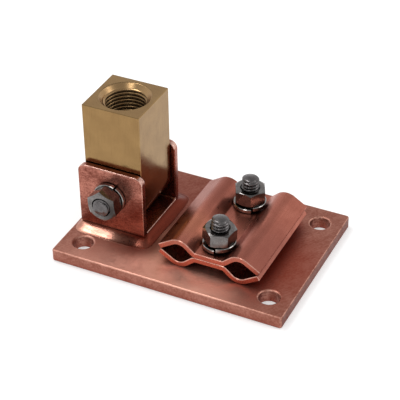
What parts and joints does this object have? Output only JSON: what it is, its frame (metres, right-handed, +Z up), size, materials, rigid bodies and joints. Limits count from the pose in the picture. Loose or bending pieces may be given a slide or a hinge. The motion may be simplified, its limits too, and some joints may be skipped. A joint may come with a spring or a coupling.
{
  "type": "air terminal base",
  "caption": "Lightning air terminal base: a copper plate carrying a swivelling threaded brass rod socket in a U bracket and a bolted two-channel conductor clamp.",
  "frame": {"origin": "middle of the base plate's underside", "axes": "+X along the plate from the swivel bracket to the conductor clamp, +Y to the back, +Z up"},
  "size_m": [0.0888, 0.0636, 0.0549],
  "materials": {
    "copper_plate": "satin copper, lightly scratched",
    "copper_strip": "satin copper with bright polished edges",
    "copper_clamp": "brushed copper",
    "braze": "brushed braze metal",
    "brass": "fine drawn grain, slightly tarnished",
    "fastener_steel": "bright cold-formed steel",
    "spring_steel": "plain spring steel"
  },
  "bodies": {
    "base": {"base_plate": "copper_plate", "swivel_bracket": "copper_strip", "braze_fillet": "braze", "pivot_bolt": "fastener_steel", "pivot_nut": "fastener_steel", "pivot_spring_washer": "spring_steel", "clamp_lower": "copper_clamp", "clamp_upper": "copper_clamp", "clamp_screw_front": "fastener_steel", "clamp_screw_rear": "fastener_steel", "clamp_nut_front": "fastener_steel", "clamp_nut_rear": "fastener_steel", "clamp_spring_washer_front": "spring_steel", "clamp_spring_washer_rear": "spring_steel"},
    "socket": {"rod_socket": "brass"}
  },
  "joints": [
    {"name": "socket_swivel", "type": "hinge", "parent": "base", "child": "socket", "pos_m": [-0.0293, 0, 0.0207], "axis": [0, 1, 0], "range_deg": [-90, 60]}
  ]
}
